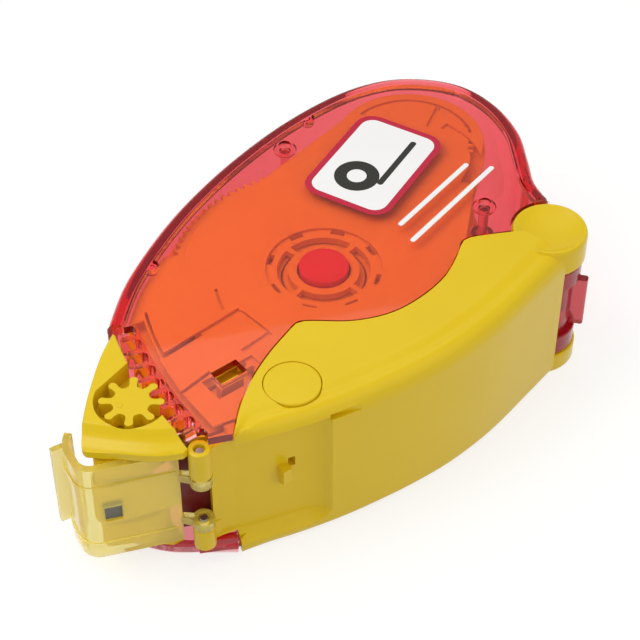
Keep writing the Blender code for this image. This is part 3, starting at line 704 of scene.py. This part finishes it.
def shell_lip(lip_edge):
    """The front edge of the shell's floor, with its raised end under the grip, in the deeper red that
    paints the shadow along this edge.
    """
    lip = slab("shell_lip", lip_edge, 0.1, SHELL_FLOOR)
    raised = [(-67.0, -13.4), (-72.8, -11.3), (-72.4, -10.2), (-66.6, -12.2)]
    add(lip, slab("raised", raised, 0.5, 3.2))
    soften(lip, 0.15)
    finish_piece(lip, DEEP_RED_AND_PAINTED_SHADE, "housing", "red_translucent")


def hinge_barrel():
    """The housing's barrel on the tail hinge, with its root in the shell and its stop tab."""
    root_outline = [(1.9, 3.6), (5.2, 7.4), (4.4, 12.0), (-1.2, 5.3)]
    root = slab("hinge_barrel", root_outline, BARREL_LOW + 0.1, BARREL_HIGH - 0.1)
    collar = [(5.8, 0.0), (6.0, 0.2), (6.0, 3.6), (5.8, 3.8)]
    profile = [(1.9, BARREL_LOW)] + [(radius, BARREL_LOW + z) for radius, z in collar]
    profile += [(5.0, BARREL_LOW + 3.8), (5.0, BARREL_HIGH - 4.0)]
    profile += [(5.8, 18.8), (6.0, 19.0), (6.0, 22.6), (5.8, BARREL_HIGH), (1.9, BARREL_HIGH)]
    tab_outline = rounded_rectangle(polar(5.6, STOP_TAB_DEG), 3.6, 1.5, 0.5, STOP_TAB_DEG)
    add(root, lathe("barrel", (0, 0), profile), slab("tab", tab_outline, 8.2, 18.4))
    soften(root, 0.18)
    finish_piece(root, DEEP_RED_AND_PAINTED_SHADE, "housing", "red_translucent")


def housing_shell():
    """The lower shell: floor, rounded hump wall and rim, bosses and studs."""
    outline = HUMP + [(3.0, 0.0), (0.0, -25.0), (-95.0, -25.0), (-95.0, 8.0)]
    shell = pillow("housing_shell", outline, 0.0, HEIGHT, 1.5, 0.9)
    lip = smooth([(-72.6, -10.7), (-76.6, -8.3), (-80.0, -4.6), (-81.2, 0.0), (-80.0, 5.0)], 6)
    keep = shifted(HUMP, -3.0) + [(7.0, 4.6), (2.0, 4.0), (-3.0, 2.0)] + SEAM + lip
    keep_inside(shell, slab("keep", keep + [(-77.0, 9.6), (-74.2, 13.4)], -2.0, HEIGHT + 2))
    outside = [(20.0, 6.0), (20.0, -30.0), (-99.0, -30.0), (-99.0, 35.5)]
    cut(
        shell,
        slab("hollow", shifted(HUMP, WALL) + outside, SHELL_FLOOR, 26.3),
        slab("mouth", shifted(HUMP, RIM_WIDTH) + outside, 25.8, HEIGHT + 1),
        slab("upper", circle(KNUCKLE_RADIUS + GAP), BARREL_HIGH, HEIGHT + 1),
        slab("lower", circle(KNUCKLE_RADIUS + GAP), -1.0, BARREL_LOW),
    )
    lip_edge = band(smooth([(-66.0, -13.2), *lip[::3]], 4), -0.1, 1.4)
    cut(shell, slab("lip_room", lip_edge, -1.0, SHELL_FLOOR + 0.2))
    shell_lip(lip_edge)
    hinge_barrel()
    for centre in BOSSES:
        profile = [(0, 0.8), (2.05, 0.8), (1.9, 21.0), (1.1, 21.0), (1.1, 4.0), (0, 4.0)]
        add(shell, lathe("boss", centre, profile, 32))
    for centre in RIM_STUDS:
        profile = [(0, 26.4), (1.0, 26.4), (1.0, 27.9), (0.85, 28.1), (0.5, 28.1), (0.45, 27.8)]
        add(shell, lathe("stud", centre, profile + [(0, 27.8)], 32))
    soften(shell, 0.18)
    finish_piece(shell, SHELL_RED, "housing", "red_translucent", "case_shell")


def housing_cover():
    """The inset top plate, with its rack, catch window and snap pins."""
    inner = shifted(HUMP, RIM_WIDTH + GAP)
    inner = [point for point in inner if math.hypot(*point) > KNUCKLE_RADIUS + 2 * GAP]
    edge = rack_edge()
    outline = inner + arc(KNUCKLE_RADIUS + GAP, 55, 156, 16) + SEAM + [(-70.8, -12.75)] + edge
    cover = slab("housing_cover", outline, COVER_LOW, HEIGHT)
    rim = slab("rim", edge[5:] + arc(70.6, 168.6, 187.4, 12), 25.4, HEIGHT - 0.4)
    add(cover, rim)
    cut(cover, slab("window", rectangle(CATCH_WINDOW, 4.8, 3.0, 8.0), 26.0, HEIGHT + 1))
    for centre in BOSSES:
        profile = [(0, 18.2), (0.85, 18.2), (0.85, 25.3), (0.9, 25.2), (1.0, 25.4)]
        profile += [(1.0, 26.4), (1.9, 26.4), (2.1, 27.3), (0, 27.3)]
        add(cover, lathe("pin", centre, profile, 32))
        dimple = [(0, 27.9), (0.9, 27.9), (1.05, 28.1), (1.1, 29.0), (0, 29.0)]
        cut(cover, lathe("dimple", centre, dimple, 32))
    for centre in RIM_STUDS:
        cut(cover, slab("stud_clear", circle(1.25, 32, centre), 26.0, 30.0))
    soften(cover, 0.22)
    finish_piece(cover, COVER_RED, "housing", "red_translucent", "top_cover")


# --- The yellow grip and nose -----------------------------------------------------


def grip_section(width):
    """The grip's cross-section: (inwards, z) from the seam over the edge to the seam."""
    top = [(5.4, 28.5), (4.7, 28.42), (4.0, 28.12), (3.4, 27.92), (2.9, 27.93), (2.4, 27.98)]
    top += [(1.8, 27.82), (1.2, 27.4), (0.7, 26.85), (0.3, 26.1), (0.06, 25.2), (0.0, 24.3)]
    bottom = [(0.0, 1.4), (0.15, 0.75), (0.5, 0.25), (1.1, 0.0)]
    inside = [(1.6, 2.5), (1.6, 26.0)]
    squeeze = min(1.0, width / 6.0)
    rounded = [(v * squeeze, z) for v, z in top + bottom]
    wall = [(min(v, width * 0.7), z) for v, z in inside]
    return [(width, 26.0), (width, 28.5)] + rounded + [(width, 0.0), (width, 2.5)] + wall


def grip_body():
    """The grip: a section swept along its edge, then the knuckles, recess, lugs and hook."""
    count = 56
    edge = resampled(GRIP_EDGE, count)
    seam = resampled([(-4.0, 1.6)] + shifted(SEAM, -0.24)[2:], count)
    rings = []
    for outer, inner in zip(edge, seam):
        width = math.dist(outer, inner)
        ring = []
        for v, z in grip_section(width):
            share = v / width
            x = outer[0] + (inner[0] - outer[0]) * share
            y = outer[1] + (inner[1] - outer[1]) * share
            ring.append((x, y, z))
        rings.append(ring)
    grip = from_rings("grip_body", rings)

    recess = [point for point in GRIP_EDGE if -55.5 > point[0]]
    wall_line = shifted(recess, 2.0)
    curl = [(-51.35, -19.5), (-51.35, -16.25), (-52.3, -15.2), (-53.8, -14.3)]
    inner_line = curl + wall_line + [(-69.9, -11.7), (-74.0, -10.9)]
    floor_line = curl[:1] + [(-51.35, -18.6), (-52.3, -18.0), (-54.0, -17.6)]
    floor_line = floor_line + shifted(recess, -1.6) + [(-70.6, -15.2), (-74.5, -14.4)]
    outer_line = [(-74.0, -24.0), (-51.35, -24.0)]
    rings = [
        at_height(floor_line + outer_line, 0.4),
        at_height(inner_line + outer_line, 3.8),
        at_height(inner_line + outer_line, 25.7),
    ]
    wall = slab(
        "recess_wall",
        [(-50.6, -16.0), (-52.3, -15.6), (-54.3, -15.0)]
        + shifted(recess, 1.2)
        + [(-70.3, -12.4), (-69.8, -10.2)]
        + shifted(recess, 3.6)[::-1]
        + [(-53.2, -12.6), (-50.6, -14.4)],
        2.2,
        26.4,
    )
    cut(wall, slab("rack_clear", rectangle((-69.7, -11.5), 5.4, 8.0), 25.0, HEIGHT))
    cut(wall, slab("lip_clear", rectangle((-69.3, -11.5), 5.8, 8.0), 0.0, 3.6))
    add(grip, wall)
    groove = [(-51.6, -18.0), (-45.0, -17.4), (-45.6, -16.6), (-51.6, -14.9)]
    front = [(-66.3, -12.0), (-67.0, -17.0), (-75.0, -17.0), (-75.0, -8.0), (-66.3, -8.0)]
    cut(
        grip,
        from_rings("recess", [ring[::-1] for ring in rings]),
        slab("groove", groove, 25.0, 26.1),
        slab("front_clear", front, -1.0, 3.5),
        slab("barrel_clear", circle(6.3, 64), 3.68, 23.13),
    )
    upper = lathe(
        "upper_knuckle",
        (0, 0),
        [
            (0, 23.1),
            (6.1, 23.1),
            (6.35, 23.35),
            (6.35, 27.6),
            (6.25, 28.1),
            (6.1, 28.42),
            (5.9, 28.5),
            (5.7, 28.44),
            (5.2, 28.1),
            (4.4, 27.72),
            (3.3, 27.4),
            (2.0, 27.2),
            (0, 27.12),
        ],
        96,
    )
    lower = lathe(
        "lower_knuckle",
        (0, 0),
        [(0, 0.03), (5.9, 0.03), (6.2, 0.12), (6.35, 0.4), (6.35, 3.45), (6.1, 3.7), (0, 3.7)],
        96,
    )
    add(grip, upper, lower)
    for low, high in ((20.0, 26.0), (3.3, 7.5)):
        top = min(high, 25.0) - 0.1
        web = [(CAP_AXIS[0], -11.9), (-69.0, -11.9), (-69.0, -10.5), (CAP_AXIS[0], -10.4)]
        lug = lathe(
            "lug",
            CAP_AXIS,
            [
                (0, low),
                (1.6, low),
                (1.8, low + 0.2),
                (1.8, high - 0.3),
                (1.72, high - 0.1),
                (1.5, high),
                (1.05, high),
                (0.95, high - 0.1),
                (0.95, high - 1.6),
                (0, high - 1.6),
            ],
            40,
        )
        add(grip, lug, slab("web", web, low + 0.1, top))
    hook = from_rings(
        "hook",
        [
            at_height([(-59.3, -12.9), (-57.9, -13.1), (-58.1, -13.9), (-59.2, -13.9)], 12.2),
            at_height([(-59.4, -12.9), (-57.9, -13.1), (-57.9, -15.1), (-59.5, -15.3)], 13.6),
            at_height([(-59.4, -12.9), (-57.9, -13.1), (-57.9, -15.1), (-59.5, -15.3)], 16.4),
        ],
    )
    add(grip, hook)
    cut(
        grip,
        slab("hole", rectangle((-57.2, -13.6), 1.2, 2.6), 15.3, 17.3),
        slab("plug_seat", circle(4.62, 64, PLUG_CENTRE), 27.4, HEIGHT + 1),
    )
    soften(grip, 0.14, 2, 38)
    finish_piece(grip, YELLOW, "chassis", "yellow_plastic", "grip_shell")

    plug = lathe(
        "grip_plug_disc",
        PLUG_CENTRE,
        [(0, 27.5), (4.4, 27.5), (4.5, 27.6), (4.5, 28.34), (4.4, 28.46), (4.1, 28.52), (0, 28.54)],
    )
    soften(plug, 0.05, 2)
    finish_piece(plug, YELLOW, "chassis", "yellow_plastic", "grip_plug")


def nose_body():
    """The nose: a plate with the gear's well, hollowed down to a thick front edge."""
    left = smooth([(-73.6, 14.2), (-77.3, 10.7), (-81.7, 5.3), (-84.6, 1.2), (-86.7, -2.2)], 6)
    corner = arc(1.3, 150, 232, 6, (-85.9, -3.5))
    front = smooth([(-83.0, -7.0), (-78.5, -10.2), (-74.6, -11.8)], 6)
    back = arc(NOSE_INNER_RADIUS, 188.9, 169.4, 24)
    nose = pillow("nose_body", left + corner + front + back, 24.9, HEIGHT, 0.35, 0.2, 3)
    path = smooth([(-70.0, -13.4), (-74.6, -11.8), (-78.5, -10.2), (-83.0, -7.0), (-87.4, -3.4)])
    path = path + [(-91.0, -0.2)]
    slope = [(-3.0, 26.3), (0.0, 26.3), (0.35, 26.55), (0.9, 26.75), (1.6, 26.95), (2.2, 27.25)]
    slope += [(2.8, 27.75), (3.2, 28.2), (3.5, 28.42), (3.9, 28.6), (3.9, 31.0), (-3.0, 31.0)]
    cut(nose, sweep("slope", path, slope))
    side = [point for point in left if point[1] > 3.6]
    sole = [(-74.4, 13.0), (-78.8, 7.2), (-82.0, 3.4), (-82.6, -1.0), (-80.4, -5.4), (-76.0, -8.6)]
    sole = sole + arc(NOSE_INNER_RADIUS, 186.6, 170.0, 12)
    add(
        nose,
        slab("side", band(side, 1.5, -0.05), 2.2, 25.4),
        slab("sole", sole, 1.8, 3.2),
        slab("well_cup", circle(6.5, 64, GEAR_CENTRE), 23.9, 25.4),
    )
    well = arc(5.8, 131, 300, 40, GEAR_CENTRE) + [(-70.0, -5.0), (-70.0, 7.4), (-74.0, 7.4)]
    cut(nose, slab("well", well, 25.1, HEIGHT + 1))
    cut(nose, slab("axle_hole", circle(1.2, 24, GEAR_CENTRE), 23.0, 26.0))
    soften(nose, 0.3, 3, 34)
    finish_piece(nose, YELLOW, "chassis", "yellow_plastic", "nose_frame")


def thumb_gear():
    """The thumb gear, with the small mark of its moulding gate."""
    gear = slab("thumb_wheel", petals(), 25.4, 28.15)
    gate = lathe(
        "gate",
        (-79.2, 0.1),
        [(0, 27.5), (0.55, 27.5), (0.55, 28.18), (0.42, 28.26), (0.25, 28.2), (0, 28.2)],
        24,
    )
    add(gear, gate)
    cut(gear, slab("bore", circle(1.15, 24, GEAR_CENTRE), 25.0, 27.3))
    soften(gear, 0.3, 3)
    finish_piece(gear, YELLOW, "thumb_gear", "yellow_plastic", "thumb_gear")


def clear_cap():
    """The clear cap: a bent wall with two ribs, a thumb tab, a window and two knuckles."""
    wall = slab("clear_cap", band(CAP_FACE, 0.0, 1.2), 3.7, 24.3)
    for low, high in ((19.6, 20.6), (6.3, 7.3)):
        add(wall, slab("rib", band(resampled(CAP_FACE, 43)[1:-3], 0.2, 0.6), low, high))
    tab = [(-90.25, 2.85), (-88.3, 2.85), (-87.2, 2.6), (-87.4, 1.7), (-90.25, 1.95)]
    add(wall, slab("tab", tab, 5.2, 22.0))
    for low, high in ((17.9, 19.7), (7.8, 9.6)):
        web = [(CAP_AXIS[0], -12.7), (-74.9, -9.95), (-74.6, -8.8), (CAP_AXIS[0], -10.8)]
        knuckle = slab("knuckle", circle(1.8, 32, CAP_AXIS), low, high)
        add(wall, knuckle, slab("web", web, low + 0.1, high - 0.1))
        cut(wall, slab("bore", circle(0.95, 24, CAP_AXIS), low - 1, high + 1))
    cut(wall, slab("window", rectangle(CAP_WINDOW, 2.7, 5.0, -17), 12.0, 15.2))
    soften(wall, 0.2, 3)
    finish_piece(wall, CAP_CLEAR, "cap", "clear_yellow", "cap")


def seam_shadow():
    """A dark strip in the joint between the case rim and the cover: painted shadow for the shade in that
    gap.
    """
    path = [point for point in shifted(HUMP, RIM_WIDTH + GAP / 2) if math.hypot(*point) > 16.0]
    line = slab("seam_shadow", band(path[2:], 0.13, 0.13), 26.7, 28.25)
    for centre in RIM_STUDS:
        cut(line, slab("stud_clear", circle(1.2, 32, centre), 26.0, 29.0))
    finish_piece(line, PAINTED_SEAM_SHADOW, "housing", "red_translucent")


def window_pad():
    """A dark grey pad set back in the cap's window, filling the inner part of its opening."""
    pad = slab("window_pad", band(CAP_FACE, -0.6, 1.2), 11.8, 15.4)
    keep_inside(pad, slab("pane", rectangle(CAP_WINDOW, 2.9, 5.0, -17), 11.0, 16.0))
    finish_piece(pad, PAD_GREY, "cap", "clear_yellow")


def cassette_wall():
    """A wall of the cassette's mouth, seen between the cap's lugs, in an opaque dark maroon that paints
    the shade there.
    """
    path = [(-73.9, -8.2), (-70.6, -9.2), (-67.6, -10.3)]
    wall = pillow("cassette_wall", anticlockwise(band(path, 0.35, 0.35)), 4.9, 22.9, 0.2, 0.2, 2)
    finish_piece(wall, MAROON_PAINTED_SHADE, "chassis", "red_translucent")


def sticker():
    """A plain printed panel on the cover: a roll and its strip of tape, with two rules below."""
    turn = 30.0
    centre = Vector((-16.9, 28.7))
    along = Vector(polar(1.0, turn))
    across = Vector((-along.y, along.x))
    top = HEIGHT + 0.015

    def spot(x, y):
        return tuple(centre + along * x + across * y)

    border = slab("sticker_border", rounded_rectangle(centre, 23.6, 16.4, 3.2, turn), PRINT_LOW, top)
    finish_piece(border, STICKER_EDGE, "housing", "tape_white")
    panel = slab("sticker_panel", rounded_rectangle(centre, 21.4, 14.2, 2.3, turn), PRINT_LOW, top + 0.01)
    finish_piece(panel, STICKER, "housing", "tape_white")
    roll = slab("sticker_print", circle(3.9, 64, spot(-4.2, 1.0)), PRINT_LOW, top + 0.02)
    cut(roll, slab("eye", circle(1.7, 48, spot(-4.2, 1.0)), 28.0, 29.0))
    strip = rounded_rectangle(spot(2.2, -3.35), 13.0, 1.1, 0.5, turn)
    add(roll, slab("strip", strip, PRINT_LOW, top + 0.02))
    finish_piece(roll, INK, "housing", "tape_white")
    rules = (("rule_upper", (-12.1, 16.9), 20.0), ("rule_lower", (-10.6, 13.3), 24.0))
    for name, middle, length in rules:
        rule = slab(name, rounded_rectangle(middle, length, 0.9, 0.44, 22.3), PRINT_LOW, top)
        finish_piece(rule, STICKER, "housing", "tape_white")


def cassette_deck():
    """The moulded sheet over the reel gears, seen through the cover."""
    hood = [(-69.2, 6.6), (-69.4, -1.0), (-68.4, -9.6), (-60.0, -10.4), (-46.0, -8.0)]
    bearing = 35.0
    front = arc(23.3, bearing + 90, bearing + 270, 48, SUPPLY_CENTRE)
    rear = arc(13.0, bearing - 90, bearing + 90, 32, TAKEUP_CENTRE)
    deck = pillow("cassette_deck", front + rear, DECK_LOW, DECK_HIGH, 0.15, 0.05, 2)
    wall_side = [point for point in shifted(HUMP, 2.9) if -70.5 < point[0] < -57.0]
    outline = wall_side[::-1] + arc(69.3, 166.8, 174.0, 6) + hood + [(-40.0, 0.0), (-46.0, 18.0)]
    add(deck, pillow("hood", outline, DECK_LOW, DECK_HIGH + 0.03, 0.12, 0.05, 2))
    cut(deck, slab("hub_hole", circle(9.6, 72, SUPPLY_CENTRE), 25.0, 27.0))
    cut(deck, slab("catch_hole", rectangle((-60.6, -2.3), 9.6, 4.6, 8.0), 25.0, 27.0))
    grooves = [
        band([(-53.0, 10.4), (-68.4, 7.2)], 0.5, 0.5),
        band([(-51.2, 3.4), (-57.0, 2.0)], 0.5, 0.5),
        band([(-63.5, 0.6), (-69.6, -1.2)], 0.3, 0.3),
        band(arc(68.6, 165.4, 174.0, 8), 0.25, 0.25),
        band(arc(56.6, 163.0, 168.0, 8), 0.25, 0.25),
        band([(-53.0, 10.2), (-51.4, 3.8)], 0.2, 0.2),
        band(smooth([(0.4, 33.2), (1.5, 28.0), (0.2, 22.6), (-4.8, 18.2)], 8), 0.9, 0.9),
        band([(2.6, 38.2), (-2.2, 34.3)], 0.45, 0.45),
        band(arc(11.0, -20.0, 110.0, 28, TAKEUP_CENTRE), 0.3, 0.3),
    ]
    for groove in grooves:
        cut(deck, slab("groove", groove, 25.0, 27.0))
    soften(deck, 0.08, 2, 40)
    finish_piece(deck, YELLOW_INNER_PAINTED_LIGHT, "chassis", "yellow_plastic")


# --- The cassette's own CAD pieces ------------------------------------------------


def dress_nodes():
    """Gives each CAD piece that stays its material and rounded edges."""
    looks = {
        "supply_post": (RED_POST, 0.3),
        "tape_roll": (TAPE_FILM, 0.15),
        "takeup_winding": (TAPE_FILM, 0.15),
        "tape_ribbon": (TAPE_FILM, 0.0),
        "tip_roller": (RUBBER, 0.15),
    }
    steel = ("gear_axle", "tail_hinge_pin", "cap_pin_upper", "cap_pin_lower", "clutch_ring")
    steel += ("front_guide_pin", "rear_guide_pin", "lower_guide_pin", "tip_axle")
    for name in steel:
        looks[name] = (STEEL, 0.1)
    for name, obj in frame["nodes"].items():
        if obj.hide_render:
            continue
        material, width = looks.get(name, (YELLOW_INNER_PAINTED_LIGHT, 0.12))
        obj.data.materials.clear()
        obj.data.materials.append(material)
        for polygon in obj.data.polygons:
            polygon.material_index = 0
        weld = obj.modifiers.new("weld", "WELD")
        weld.merge_threshold = 0.000002
        if width:
            bevel = obj.modifiers.new("edge_rounding", "BEVEL")
            bevel.width = width * MM
            bevel.segments = 2
            bevel.limit_method = "ANGLE"
            bevel.angle_limit = math.radians(35)
            even = obj.modifiers.new("even_shading", "WEIGHTED_NORMAL")
            even.keep_sharp = True


def main():
    set_stage()
    housing_shell()
    housing_cover()
    grip_body()
    nose_body()
    thumb_gear()
    clear_cap()
    sticker()
    cassette_deck()
    window_pad()
    cassette_wall()
    seam_shadow()
    dress_nodes()


main()
